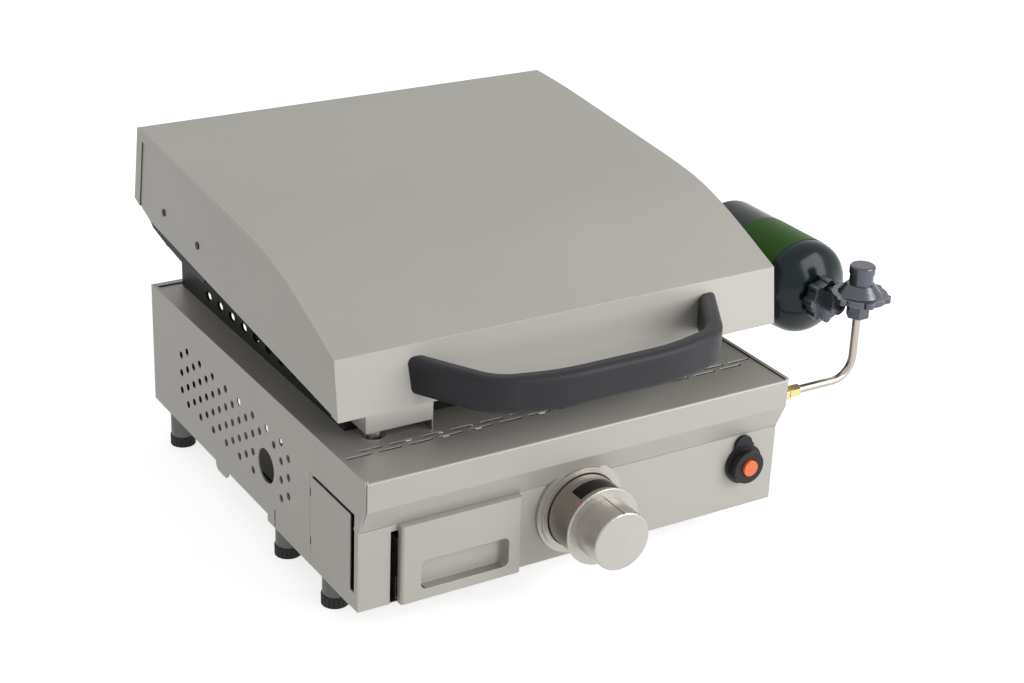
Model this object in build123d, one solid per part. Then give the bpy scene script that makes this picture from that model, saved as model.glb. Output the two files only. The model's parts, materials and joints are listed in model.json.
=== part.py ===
# Tabletop gas griddle with a hinged hood, a drip drawer and a one pound gas cylinder.
# Millimetres. The origin is the middle of the body's footprint on the table. Up is +Z, the front is -Y.

import os

from build123d import *

os.makedirs("parts", exist_ok=True)

# Body box
BODY_W = 470.0
BODY_D = 493.0
DECK_Z = 177.0
RIM_H = 1.5
SHEET = 1.5
THIN = 1.2
REAR_EDGE_Z = 44.5
BOX_EDGE_Z = 37.0
BOX_D = 189.0
FLANGE_W = 37.0
BEND_R = 2.0

# Front lip and control panel
LIP_H = 29.0
LIP_END = 57.0
PANEL_SET = 14.0
LIP_RETURN = 12.0
PLATE_TOP = 41.5
PLATE_FRONT = 30.0
PLATE_REAR = 112.0
PLATE_FIT = 0.2
FRONT_SEAM = 8.5
FRONT_SEAM_END = 123.0
TOP_SEAM = 4.0
TOP_SEAM_END = 107.0
PLATE_NOTCHES = (62.0, 114.0)
NOTCH_SIZE = (2.0, 8.0)
BOX_SLIT = (2.5, 20.5)
STEP_TAB = 17.0
BOX_WALL_SET = 5.0
LUG_Y = 316.0
LUG_LEN = 30.0
LUG_DROP = 9.0
LUG_R = 7.0

# Side vents
VENT_COLS = 17
VENT_PITCH_Y = 16.1
VENT_PITCH_Z = 20.2
VENT_START_Y = 158.0
VENT_TOP = 40.0
VENT_R = 4.1
VENT_FROM_HOLE = 8.3
LIGHTING_HOLE = (208.0, 81.5)
LIGHTING_HOLE_R = 18.0

# Deck slots and rear window
SLOT_LEN = 24.0
SLOT_W = 3.0
SLOT_PITCH = 32.0
SLOT_COUNT = 14
SLOT_ROWS = (50.5, 58.5)
WINDOW_W = 384.0
WINDOW_Z = (83.0, 163.0)

# Griddle top that lifts off
GRIDDLE_W = 410.0
GRIDDLE_FRONT = 100.0
GRIDDLE_REAR_GAP = 13.0
GRIDDLE_REAR = BODY_D - GRIDDLE_REAR_GAP
WALL_T = 3.0
PLATE_T = 5.0
PLATE_TOP_H = 24.0
SKIRT_HOLE_H = 13.0
SKIRT_HOLE_PITCH = 29.0
SKIRT_HOLE_INSET = 70.0
SKIRT_HOLE_COUNT = 12
REST_LAP = 3.0
CHUTE_W = 70.0
CHUTE_DEPTH = 34.0
DRAIN_INSET = (21.0, 16.0)
DRAIN = (-GRIDDLE_W / 2 + DRAIN_INSET[0], GRIDDLE_FRONT - DRAIN_INSET[1])
DRAIN_R = 8.0
DRAIN_HOLE_R = 12.0

# Hood, as heights above the deck and depths behind the lip
HOOD_W = 484.0
HOOD_T = 1.2
HOOD_TOP = [(49.0, 100.0), (110.0, 125.4), (170.0, 145.5), (250.0, 156.6), (380.0, 167.8), (498.0, 175.0)]
HOOD_SLOPES = (0.426, 0.019)
HOOD_FRONT_LOW = (40.5, 42.5)
HOOD_REAR_LOW = (513.0, 93.0)
HOOD_CLIP = (474.0, 80.0)
HOOD_LAP = 12.0
HINGE_INSET = 10.0
HINGE_AT = (GRIDDLE_REAR - HINGE_INSET, 70.0)
HINGE_R = 3.0
BRACKET_T = 2.0
BRACKET_GAP = 3.3
BRACKET_SCREWS = [(HINGE_AT[0] - 35.0, HINGE_AT[1] + 33.0), (HINGE_AT[0] - 120.0, HINGE_AT[1] + 28.0)]
BRACKET_OUTLINE = [(8, 9), (0, 4), (-33, -2), (-92, -9), (-130, -9), (-138, 2), (-134, 38), (-22, 43), (8, 26)]

# Handle
HANDLE_CORNERS = [(165.5, 56.0), (119.0, -23.0), (60.0, -37.5)]
HANDLE_BENDS = [45.0, 200.0]
HANDLE_Z = 70.5
HANDLE_HIGH = 36.0
HANDLE_THICK = 17.0
HANDLE_EDGE_R = 6.5

# Drip drawer
DRAWER_X = (-194.5, -66.5)
DRAWER_FACE = 6.0
DRAWER_LOW = 139.5
DRAWER_LEN = 180.0
DRAWER_SLIT = 7.5
PAN_TOP = 76.0
PULL_X = (-175.0, -79.0)
PULL_Z = (97.0, 130.0)
PULL_DEPTH = 12.0

# Knob and valve
KNOB_Z = 89.5
KNOB_FACE = -62.6
KNOB_R = 30.0
DRUM_R = 38.0
DRUM_FRONT = -28.0
KNOB_PUSH = 3.0
KNOB_CLEAR = 0.75
RING_R = 40.0
BEZEL_R = 47.5
STEM_R = 4.0
RUN_FIT = 0.05

# Igniter
IGNITER_AT = (196.0, 90.5)
IGNITER_RING_R = 17.5
IGNITER_BASE_R = 21.0
BUTTON_R = 8.5
BUTTON_GAP = 0.5

# Gas line, regulator and cylinder
PIPE_Y = 18.0
PIPE_LOW = 25.5
PIPE_R = 4.2
REG_X = 330.0
REG_H = 62.0
CYL_OFFSET = 14.0
CYL_X = REG_X - CYL_OFFSET
CYL_H = 49.5
CYL_SHOULDER = 92.0
CYL_TAIL = 232.0
CYL_R = 49.2
CYL_WALL = 1.1
CYL_DOME = 30.0
CYL_BASE = 14.0
LABEL_SET = 3.0
LABEL_LEN = 68.0
NECK_R = 12.7
WHEEL_AHEAD = 16.0
WHEEL_LEN = 14.0

# Burner
BURNER_R = 11.0
BURNER_BORE_R = 9.6
BURNER_HALF_W = 95.0
BURNER_DROP = 24.0
BURNER_FRONT = BOX_D + 11.0
BURNER_REAR = GRIDDLE_REAR - 60.0
BRACKET_BAR_INSET = 35.0
BRACKET_BAR_W = 16.0
SHIELD_SLOT_START = 86.0
SHIELD_SLOT_PITCH = 80.0

# Feet
FOOT_X = 217.0
FOOT_FRONT_Y = 95.0
FOOT_PAST_BOX = 9.0
FOOT_FROM_REAR = 31.0
FOOT_YS = {"front": FOOT_FRONT_Y, "middle": BOX_D + FOOT_PAST_BOX, "rear": BODY_D - FOOT_FROM_REAR}
PAD_R = 13.5
PAD_H = 11.0
CUP_R = 12.5
STUD_R = 4.0
FOOT_GAP = 4.0

SIDE_X = BODY_W / 2
FRONT_Y = -BODY_D / 2
REAR_Y = BODY_D / 2
RIM_Z = DECK_Z + RIM_H
PANEL_Y = FRONT_Y + PANEL_SET
KNOB_AXIS_Z = DECK_Z + 1 - KNOB_Z
IGNITER_Z = DECK_Z + 1 - IGNITER_AT[1]
BASE_Z = 178.0


def at_y(depth):
    return FRONT_Y + depth


def at_z(height):
    return BASE_Z + height


def save(node, shape):
    shape.label = node
    export_step(shape, f"parts/{node}.step")


# Helpers for blocks, sheets and round pieces


def block(x, y, z):
    size = (x[1] - x[0], y[1] - y[0], z[1] - z[0])
    return Pos(sum(x) / 2, sum(y) / 2, sum(z) / 2) * Box(*size)


def rod_x(radius, x, y, z):
    return Pos(sum(x) / 2, y, z) * Rot(0, 90, 0) * Cylinder(radius, x[1] - x[0])


def rod_y(radius, x, y, z):
    return Pos(x, sum(y) / 2, z) * Rot(90, 0, 0) * Cylinder(radius, y[1] - y[0])


def rod_z(radius, x, y, z):
    return Pos(x, y, sum(z) / 2) * Cylinder(radius, z[1] - z[0])


def side_plate(points, x):
    face = make_face(Plane.YZ * Polyline(*points, close=True))
    return Pos(x[0], 0, 0) * extrude(face, x[1] - x[0], dir=(1, 0, 0))


def bent_sheet(points, thickness, half_width, radius=BEND_R):
    line = FilletPolyline(*points, radius=radius)
    profile = make_face(Plane.YZ * offset(line, thickness, side=Side.RIGHT))
    return extrude(profile, half_width, dir=(1, 0, 0), both=True)


def mirrored(shape):
    return mirror(shape, Plane.YZ)


def group(*shapes):
    solids = []
    for shape in shapes:
        solids.extend(shape.solids())
    return Compound(children=solids)


def tube_along(points, radius, bend, close=False):
    path = FilletPolyline(*points, radius=bend, close=close)
    start = Plane(path @ 0, z_dir=path % 0)
    return sweep(start * Circle(radius), path)


# Body walls, a side sheet each way with vents, rim and foot flange, and the rear sheet between them


def shell_side_outline():
    lip = FRONT_Y + SHEET
    return [
        (lip, RIM_Z),
        (lip, DECK_Z - LIP_H),
        (PANEL_Y, DECK_Z - LIP_END),
        (at_y(PLATE_FRONT - FRONT_SEAM), DECK_Z - LIP_END),
        (at_y(PLATE_FRONT - FRONT_SEAM), at_z(-PLATE_TOP)),
        (at_y(PLATE_REAR), at_z(-PLATE_TOP)),
        (at_y(PLATE_REAR), BOX_EDGE_Z),
        (at_y(BOX_D + STEP_TAB), BOX_EDGE_Z),
        (at_y(BOX_D + STEP_TAB), REAR_EDGE_Z),
        (REAR_Y, REAR_EDGE_Z),
        (REAR_Y, RIM_Z),
    ]


def side_lug():
    y = (at_y(LUG_Y - LUG_LEN / 2), at_y(LUG_Y + LUG_LEN / 2))
    lug = block((SIDE_X - SHEET, SIDE_X), y, (REAR_EDGE_Z - LUG_DROP, REAR_EDGE_Z + SHEET))
    return fillet(lug.edges().filter_by(Axis.X).sort_by(Axis.Z)[:2], LUG_R)


def vent_centres():
    centres = []
    hole_y, hole_z = LIGHTING_HOLE
    for col in range(VENT_COLS):
        y = VENT_START_Y + VENT_PITCH_Y * col
        first = VENT_TOP + (0 if col % 2 else VENT_PITCH_Z / 2)
        for row in range(4 if col % 2 else 3):
            z = first + VENT_PITCH_Z * row
            if (y - hole_y) ** 2 + (z - hole_z) ** 2 > (LIGHTING_HOLE_R + VENT_FROM_HOLE) ** 2:
                centres.append((y, z))
    return centres


def make_side_wall():
    side = side_plate(shell_side_outline(), (SIDE_X - SHEET, SIDE_X))
    cuts = [rod_x(VENT_R, (SIDE_X - 5, SIDE_X + 5), at_y(y), at_z(-z)) for y, z in vent_centres()]
    side -= cuts
    slit_y = (at_y(BOX_D) - BOX_SLIT[0] / 2, at_y(BOX_D) + BOX_SLIT[0] / 2)
    side -= block((SIDE_X - 5, SIDE_X + 5), slit_y, (BOX_EDGE_Z - 1, BOX_EDGE_Z + BOX_SLIT[1]))
    side += side_lug()
    rim = block((SIDE_X - 4, SIDE_X), (FRONT_Y + SHEET, REAR_Y), (DECK_Z, RIM_Z))
    foot_flange = block(
        (SIDE_X - FLANGE_W, SIDE_X), (at_y(BOX_D), REAR_Y), (REAR_EDGE_Z, REAR_EDGE_Z + SHEET)
    )
    for where in ("middle", "rear"):
        foot_flange -= rod_z(STUD_R + RUN_FIT, FOOT_X, at_y(FOOT_YS[where]), (40, 60))
    return side + rim + foot_flange


def make_right_wall():
    return make_side_wall() - rod_x(PIPE_R + 0.8, (SIDE_X - 5, SIDE_X + 5), at_y(PIPE_Y), at_z(-PIPE_LOW))


def make_left_wall():
    y, z = LIGHTING_HOLE
    return mirrored(make_side_wall()) - rod_x(LIGHTING_HOLE_R, (-SIDE_X - 5, -SIDE_X + 5), at_y(y), at_z(-z))


def make_rear_wall():
    rear = block((-SIDE_X, SIDE_X), (REAR_Y - SHEET, REAR_Y), (REAR_EDGE_Z, RIM_Z))
    window = extrude(
        Plane.XZ * Pos(0, sum(WINDOW_Z) / 2) * RectangleRounded(WINDOW_W, WINDOW_Z[1] - WINDOW_Z[0], 10),
        REAR_Y + 10,
        both=True,
    )
    window = window & block((-SIDE_X, SIDE_X), (REAR_Y - 20, REAR_Y + 20), (0, 200))
    rear -= window
    rear_rim = block((-SIDE_X, SIDE_X), (REAR_Y - 8, REAR_Y), (DECK_Z, RIM_Z))
    rear_low = block((-SIDE_X, SIDE_X), (REAR_Y - 20, REAR_Y), (REAR_EDGE_Z, REAR_EDGE_Z + SHEET))
    corner = make_side_wall()
    return rear + rear_rim + rear_low - corner - mirrored(corner)


# Deck with the front lip, louvre slots and the opening under the griddle top


def make_top_deck():
    inner = SIDE_X - SHEET
    points = [
        (PANEL_Y + LIP_RETURN, DECK_Z - LIP_END),
        (PANEL_Y, DECK_Z - LIP_END),
        (FRONT_Y, DECK_Z - LIP_H),
        (FRONT_Y, DECK_Z),
        (REAR_Y - SHEET, DECK_Z),
    ]
    deck = bent_sheet(points, SHEET, inner)
    half = GRIDDLE_W / 2 - WALL_T - REST_LAP
    opening = block((-half, half), (at_y(GRIDDLE_FRONT + 6), at_y(GRIDDLE_REAR - 10)), (DECK_Z - 5, DECK_Z + 5))
    opening = fillet(opening.edges().filter_by(Axis.Z), 8)
    deck -= opening
    deck -= rod_z(DRAIN_HOLE_R, DRAIN[0], at_y(DRAIN[1]), (DECK_Z - 5, DECK_Z + 5))
    slots = []
    for row, depth in enumerate(SLOT_ROWS):
        for i in range(SLOT_COUNT):
            x = (i - (SLOT_COUNT - 1) / 2) * SLOT_PITCH + (row - 0.5) * SLOT_PITCH / 2
            slots.append(Pos(x, at_y(depth), DECK_Z) * Box(SLOT_LEN, SLOT_W, 10))
    return deck - slots


# Control panel with side flanges and openings for the drawer, knob and igniter


def make_control_panel():
    top = DECK_Z - LIP_END
    sheet = block((-SIDE_X, SIDE_X), (PANEL_Y, PANEL_Y + SHEET), (BOX_EDGE_Z + 1, top))
    lap = block((-SIDE_X + SHEET, SIDE_X - SHEET), (PANEL_Y, PANEL_Y + LIP_RETURN), (top - SHEET, top))
    wrap = (SIDE_X - SHEET, SIDE_X)
    flange = block(wrap, (PANEL_Y, at_y(PLATE_FRONT) - FRONT_SEAM), (BOX_EDGE_Z + 1, top))
    flange += block(wrap, (PANEL_Y, at_y(PLATE_FRONT) - PLATE_FIT), (BOX_EDGE_Z + 1, at_z(-FRONT_SEAM_END)))
    panel = sheet + lap + flange + mirrored(flange)
    drawer = block(
        (DRAWER_X[0] - DRAWER_SLIT, DRAWER_X[1] - 0.4), (PANEL_Y - 5, PANEL_Y + 30), (BOX_EDGE_Z - 5, top - 6)
    )
    panel -= drawer
    panel -= rod_y(STEM_R + 3, 0, (PANEL_Y - 5, PANEL_Y + 5), KNOB_AXIS_Z)
    return panel - rod_y(13, IGNITER_AT[0], (PANEL_Y - 5, PANEL_Y + 5), IGNITER_Z)


# Side plates of the control box and the frame behind them


def make_side_plate():
    y = (at_y(PLATE_FRONT), at_y(PLATE_REAR) - PLATE_FIT)
    top = at_z(-PLATE_TOP - TOP_SEAM)
    plate = block((SIDE_X - SHEET, SIDE_X), y, (BOX_EDGE_Z, top))
    plate += block((SIDE_X - SHEET, SIDE_X), (at_y(TOP_SEAM_END), y[1]), (top, at_z(-PLATE_TOP) - PLATE_FIT))
    for depth in PLATE_NOTCHES:
        middle = at_z(-depth)
        z = (middle - NOTCH_SIZE[1] / 2, middle + NOTCH_SIZE[1] / 2)
        plate -= block((SIDE_X - 5, SIDE_X + 5), (y[1] - NOTCH_SIZE[0], y[1] + 1), z)
    return plate


def make_control_box():
    x = SIDE_X - SHEET
    back = at_y(BOX_D - BOX_WALL_SET)
    z = REAR_EDGE_Z + SHEET
    low = BOX_EDGE_Z + 1
    floor = block((-x, x), (PANEL_Y + SHEET, back), (low, low + THIN))
    step = block((-x, x), (back - THIN, back), (low, z + THIN))
    ledge = block((-x + FLANGE_W, x - FLANGE_W), (back - THIN, at_y(BOX_D + STEP_TAB)), (z, z + THIN))
    wall = block((x - THIN, x), (at_y(PLATE_FRONT + 1), back), (low, at_z(-PLATE_TOP - TOP_SEAM - 1)))
    box = floor + step + ledge + wall + mirrored(wall)
    for side in (-1, 1):
        box -= rod_z(STUD_R + RUN_FIT, side * FOOT_X, at_y(FOOT_YS["front"]), (30, 45))
    return box


def make_bottom_shield():
    x = SIDE_X - FLANGE_W + 7
    y = (at_y(BOX_D) + 17, REAR_Y - 6)
    z = REAR_EDGE_Z + SHEET
    tray = block((-x, x), y, (z, z + THIN))
    slots = []
    for i in range(9):
        for row in range(3):
            depth = BOX_D + SHIELD_SLOT_START + row * SHIELD_SLOT_PITCH
            slots.append(Pos((i - 4) * 40, at_y(depth), z) * Box(8, 50, 10))
    return tray - slots


# Griddle top: plate, guard walls, drip chute and hinge pins


def guard_outline():
    front = at_y(GRIDDLE_FRONT)
    rear = at_y(GRIDDLE_REAR)
    ear_y = at_y(HINGE_AT[0])
    ear_z = at_z(HINGE_AT[1])
    return [
        (front, DECK_Z),
        (front, at_z(36)),
        (ear_y - 34, at_z(54)),
        (ear_y - 12, ear_z),
        (ear_y - 8, ear_z + 9),
        (ear_y + 8, ear_z + 9),
        (rear, ear_z),
        (rear, DECK_Z),
    ]


def skirt_hole(y):
    slot = Plane.YZ * Pos(y, at_z(SKIRT_HOLE_H)) * SlotOverall(14, 9)
    return extrude(slot, GRIDDLE_W, both=True)


def make_griddle_guard():
    half = GRIDDLE_W / 2
    front = at_y(GRIDDLE_FRONT)
    rear = at_y(GRIDDLE_REAR)
    side = side_plate(guard_outline(), (half - WALL_T, half))
    side -= rod_x(HINGE_R, (half - 10, half + 10), at_y(HINGE_AT[0]), at_z(HINGE_AT[1]))
    guard = side + mirrored(side)
    guard += block((-half, half), (rear - WALL_T, rear), (DECK_Z, at_z(60)))
    guard += block((-half, half), (front, front + WALL_T), (DECK_Z, at_z(34)))
    for i in range(SKIRT_HOLE_COUNT):
        guard -= skirt_hole(at_y(GRIDDLE_REAR - SKIRT_HOLE_INSET) - SKIRT_HOLE_PITCH * i)
    outlet = block((-half + 8, -half + 62), (front - 5, front + 10), (at_z(PLATE_TOP_H), at_z(PLATE_TOP_H + 7)))
    return guard - outlet


def make_griddle_plate():
    half = GRIDDLE_W / 2 - WALL_T
    y = (at_y(GRIDDLE_FRONT) + WALL_T, at_y(GRIDDLE_REAR) - WALL_T)
    return block((-half, half), y, (at_z(PLATE_TOP_H - PLATE_T), at_z(PLATE_TOP_H)))


def make_grease_chute():
    left = -GRIDDLE_W / 2 + 4
    right = left + CHUTE_W
    front = at_y(GRIDDLE_FRONT - CHUTE_DEPTH)
    back = at_y(GRIDDLE_FRONT)
    outer = block((left, right), (front, back), (at_z(10), at_z(34)))
    inner = block((left + 1.5, right - 1.5), (front + 1.5, back + 1), (at_z(12), at_z(40)))
    foot = block((right - 1.5, right), (front, back), (DECK_Z, at_z(12)))
    chute = outer - inner + foot
    x, y = DRAIN[0], at_y(DRAIN[1])
    chute += rod_z(DRAIN_R, x, y, (at_z(-16), at_z(11)))
    return chute - rod_z(DRAIN_R - 1.2, x, y, (at_z(-30), at_z(30)))


def make_hinge_pins():
    half = GRIDDLE_W / 2
    y = at_y(HINGE_AT[0])
    z = at_z(HINGE_AT[1])
    reach = half + BRACKET_GAP + BRACKET_T
    pin = rod_x(HINGE_R - RUN_FIT / 2, (half - WALL_T - 2, reach + 0.3), y, z)
    pin += rod_x(HINGE_R + 2.5, (half - WALL_T - 3, half - WALL_T), y, z)
    pin += rod_x(HINGE_R + 2.5, (half, half + BRACKET_GAP - 0.3), y, z)
    pin += rod_x(HINGE_R + 2.5, (reach + 0.3, reach + 3), y, z)
    return group(pin, mirrored(pin))


# Hood: top wrap, two side plates, hinge brackets, screws and handle


def hood_point(point):
    return (at_y(point[0]), at_z(point[1]))


def hood_face(top_points, low_front, low_rear, clip):
    top = Spline(*[hood_point(p) for p in top_points], tangents=[(1, slope) for slope in HOOD_SLOPES])
    rest = [hood_point(p) for p in (top_points[-1], low_rear, clip, low_front, top_points[0])]
    return make_face(Plane.YZ * (Curve() + [top, Polyline(*rest)]))


def slab(face, x):
    return Pos(x[0], 0, 0) * extrude(face, x[1] - x[0], dir=(1, 0, 0))


def hood_outer_face():
    return hood_face(HOOD_TOP, HOOD_FRONT_LOW, HOOD_REAR_LOW, HOOD_CLIP)


def run_past(start, end, factor):
    return (start[0] + (end[0] - start[0]) * factor, start[1] + (end[1] - start[1]) * factor)


def hood_inner_face(inset, factor=2.0):
    top = [(y, z - inset) for y, z in HOOD_TOP]
    top[0] = (HOOD_TOP[0][0] + inset, HOOD_TOP[0][1] - 0.5 * inset)
    top[-1] = (HOOD_TOP[-1][0] - inset, HOOD_TOP[-1][1] - inset)
    front = run_past(top[0], (HOOD_FRONT_LOW[0] + inset, HOOD_FRONT_LOW[1] - 0.5 * inset), factor)
    rear = run_past(top[-1], (HOOD_REAR_LOW[0] - inset, HOOD_REAR_LOW[1] - inset), factor)
    return hood_face(top, front, rear, ((front[0] + rear[0]) / 2, front[1]))


def make_hood_top():
    half = HOOD_W / 2
    inner_half = half - HOOD_T
    wrap = slab(hood_outer_face(), (-half, half)) - slab(hood_inner_face(HOOD_T), (-inner_half, inner_half))
    window = slab(hood_inner_face(HOOD_LAP), (inner_half, half))
    return wrap - window - mirrored(window)


def make_hood_side():
    half = HOOD_W / 2 - HOOD_T
    outline = hood_outer_face()
    side = slab(outline, (half - HOOD_T, half))
    side &= slab(hood_inner_face(HOOD_T), (half - HOOD_T, half))
    for y, z in BRACKET_SCREWS:
        side -= rod_x(2.5, (half - 5, half + 5), at_y(y), at_z(z))
    return side


def bracket_outline():
    y, z = HINGE_AT
    return [hood_point((y + along, z + rise)) for along, rise in BRACKET_OUTLINE]


def make_hinge_bracket():
    wall = HOOD_W / 2 - 2 * HOOD_T
    leg = GRIDDLE_W / 2 + BRACKET_GAP
    outer = side_plate(bracket_outline(), (wall - BRACKET_T, wall))
    for y, z in BRACKET_SCREWS:
        outer -= rod_x(2.5, (wall - 5, wall + 5), at_y(y), at_z(z))
    y, z = HINGE_AT
    leg_points = [(y + 11, z + 14), (y + 11, z - 8), (y - 8, z - 10), (y - 60, z - 9), (y - 60, z + 10)]
    inner = side_plate([hood_point(p) for p in leg_points], (leg, leg + BRACKET_T))
    web = block((leg, wall), (at_y(y - 60), at_y(y - 34)), (at_z(z - 3), at_z(z - 3 + BRACKET_T)))
    bracket = outer + inner + web
    return bracket - rod_x(HINGE_R + RUN_FIT, (leg - 5, leg + 5), at_y(y), at_z(z))


def make_hood_screws():
    wall = HOOD_W / 2 - HOOD_T
    screws = []
    for y, z in BRACKET_SCREWS:
        screw = rod_x(2.4, (wall - HOOD_T - BRACKET_T - 3, wall + 0.2), at_y(y), at_z(z))
        screw += rod_x(4.0, (wall, wall + 1.0), at_y(y), at_z(z))
        screws.extend([screw, mirrored(screw)])
    return group(*screws)


def make_hood_handle():
    right = [(x, at_y(y), at_z(HANDLE_Z)) for x, y in HANDLE_CORNERS]
    left = [(-x, y, z) for x, y, z in reversed(right)]
    path = FilletPolyline(*right, *left, radius=HANDLE_BENDS + HANDLE_BENDS[::-1])
    start = Plane(path @ 0, x_dir=(0, 0, 1), z_dir=path % 0)
    grip = sweep(start * RectangleRounded(HANDLE_HIGH, HANDLE_THICK, HANDLE_EDGE_R), path, is_frenet=False)
    return grip - slab(hood_inner_face(0.0), (-HOOD_W, HOOD_W))


# Drip drawer: pan, front plate and the rails that carry it


def make_drawer_pan():
    x = (DRAWER_X[0] + THIN, DRAWER_X[1] - THIN)
    y = (at_y(DRAWER_FACE) + SHEET, at_y(DRAWER_LEN))
    z = (BOX_EDGE_Z + 5, at_z(-PAN_TOP))
    pan = block(x, y, z)
    hollow = block((x[0] + THIN, x[1] - THIN), (y[0] + 13, y[1] - THIN), (z[0] + THIN, z[1] + 5))
    pocket = block((x[0] + THIN, x[1] - THIN), (y[0] - 1, y[0] + 13 - THIN), (z[0] + THIN, z[1] + 5))
    return pan - hollow - pocket


def make_drawer_front():
    y = (at_y(DRAWER_FACE), at_y(DRAWER_FACE) + SHEET)
    low = at_z(-DRAWER_LOW)
    high = DECK_Z - LIP_END
    front = block(DRAWER_X, (y[0], PANEL_Y - 0.3), (low, high))
    front = fillet(front.edges().filter_by(Axis.Z).sort_by(Axis.Y)[:2], 3.5)
    front -= block((DRAWER_X[0] + THIN, DRAWER_X[1] - THIN), (y[1], PANEL_Y + 5), (low - 5, high - THIN))
    width = PULL_X[1] - PULL_X[0]
    height = PULL_Z[1] - PULL_Z[0]
    centre = Pos(sum(PULL_X) / 2, y[0], at_z(-sum(PULL_Z) / 2)) * Rot(90, 0, 0)
    hole = centre * extrude(RectangleRounded(width, height, 7), 20, both=True)
    cup = centre * extrude(RectangleRounded(width, height, 7), -PULL_DEPTH)
    room = centre * extrude(RectangleRounded(width - 2 * THIN, height - 2 * THIN, 6), -PULL_DEPTH + THIN)
    return (front - hole) + (cup - room)


def make_drawer_rails():
    floor = BOX_EDGE_Z + 1 + THIN
    y = (PANEL_Y + SHEET + 1, at_y(DRAWER_LEN) - 4)
    outer = DRAWER_X[0] + THIN - 0.6
    rail = block((outer - THIN, outer), y, (floor, floor + 24))
    rail += block((outer - THIN, outer + 12), y, (floor, BOX_EDGE_Z + 5))
    middle = sum(DRAWER_X) / 2
    other = Pos(2 * middle, 0, 0) * mirrored(rail)
    return group(rail, other)


# Gas valve, knob and bezel


def make_knob_bezel():
    ring = rod_y(BEZEL_R, 0, (PANEL_Y - 4, PANEL_Y), KNOB_AXIS_Z)
    ring += rod_y(BEZEL_R - 3.5, 0, (PANEL_Y - 8, PANEL_Y), KNOB_AXIS_Z)
    ring -= rod_y(DRUM_R + 1, 0, (PANEL_Y - 20, PANEL_Y + 5), KNOB_AXIS_Z)
    lip = [
        (FRONT_Y - 10, DECK_Z),
        (FRONT_Y, DECK_Z - LIP_H),
        (PANEL_Y, DECK_Z - LIP_END),
        (PANEL_Y + 10, DECK_Z - LIP_END),
        (PANEL_Y + 10, DECK_Z),
    ]
    ring -= side_plate(lip, (-BEZEL_R * 2, BEZEL_R * 2))
    low = block((-100, 100), (PANEL_Y - 20, PANEL_Y + 5), (0, BOX_EDGE_Z + 1))
    return ring - low


def lip_face_y(z):
    return FRONT_Y + PANEL_SET * (DECK_Z - LIP_H - z) / (LIP_END - LIP_H)


def knob_drum_y():
    stop = min(lip_face_y(KNOB_AXIS_Z + DRUM_R), PANEL_Y)
    return (at_y(DRUM_FRONT), stop - KNOB_PUSH - KNOB_CLEAR)


def make_knob_drum():
    y = knob_drum_y()
    drum = rod_y(DRUM_R, 0, y, KNOB_AXIS_Z)
    drum -= rod_y(DRUM_R - 2.5, 0, (y[0] + 3, y[1] + 5), KNOB_AXIS_Z)
    drum += rod_y(STEM_R + 4, 0, (y[0] + 1, y[1]), KNOB_AXIS_Z)
    drum -= rod_y(STEM_R + RUN_FIT, 0, (y[0] - 5, y[1] + 5), KNOB_AXIS_Z)
    return drum - make_scale_window(0.0)


def make_scale_window(lift=0.3):
    y = knob_drum_y()
    band = rod_y(DRUM_R + lift, 0, (y[0] + 5, y[0] + 21), KNOB_AXIS_Z)
    band -= rod_y(DRUM_R - 0.8, 0, (y[0], y[1]), KNOB_AXIS_Z)
    top = KNOB_AXIS_Z + DRUM_R
    return band & block((-22, 22), (y[0], y[1]), (KNOB_AXIS_Z, top + 5))


def make_knob_ring():
    y = knob_drum_y()
    ring = rod_y(RING_R, 0, (y[0] - 3, y[0]), KNOB_AXIS_Z)
    ring = fillet(ring.edges(), 1.2)
    return ring - rod_y(STEM_R + RUN_FIT, 0, (y[0] - 10, y[0] + 5), KNOB_AXIS_Z)


def make_knob_cap():
    y = knob_drum_y()
    cap = rod_y(KNOB_R, 0, (at_y(KNOB_FACE), y[0] - 3), KNOB_AXIS_Z)
    edge = cap.edges().sort_by(Axis.Y)[0]
    cap = fillet(edge, 2.0)
    bore = rod_y(STEM_R + RUN_FIT, 0, (y[0] - 18, y[0] + 5), KNOB_AXIS_Z)
    hollow = rod_y(KNOB_R - 3, 0, (at_y(KNOB_FACE) + 4, y[0]), KNOB_AXIS_Z)
    hub = rod_y(STEM_R + 4, 0, (at_y(KNOB_FACE) + 3, y[0] - 3), KNOB_AXIS_Z)
    groove = block((-1, 1), (at_y(KNOB_FACE) - 1, y[0]), (KNOB_AXIS_Z + KNOB_R - 0.8, KNOB_AXIS_Z + KNOB_R + 2))
    return (cap - hollow) + hub - bore - groove


def make_valve_stem():
    return rod_y(STEM_R, 0, (at_y(-43), at_y(40)), KNOB_AXIS_Z)


def make_gas_valve():
    body = block((-16, 16), (at_y(24), at_y(62)), (KNOB_AXIS_Z - 17, KNOB_AXIS_Z + 17))
    body = fillet(body.edges().filter_by(Axis.Y), 4)
    body += rod_y(11, 0, (PANEL_Y + SHEET, at_y(26)), KNOB_AXIS_Z)
    body += rod_x(6, (15, 24), at_y(45), KNOB_AXIS_Z)
    body += rod_y(5, 0, (at_y(61), at_y(74)), KNOB_AXIS_Z)
    return body - rod_y(STEM_R + RUN_FIT, 0, (PANEL_Y, at_y(46)), KNOB_AXIS_Z)


# Igniter


def igniter_cylinder(radius, y):
    return rod_y(radius, IGNITER_AT[0], y, IGNITER_Z)


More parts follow.
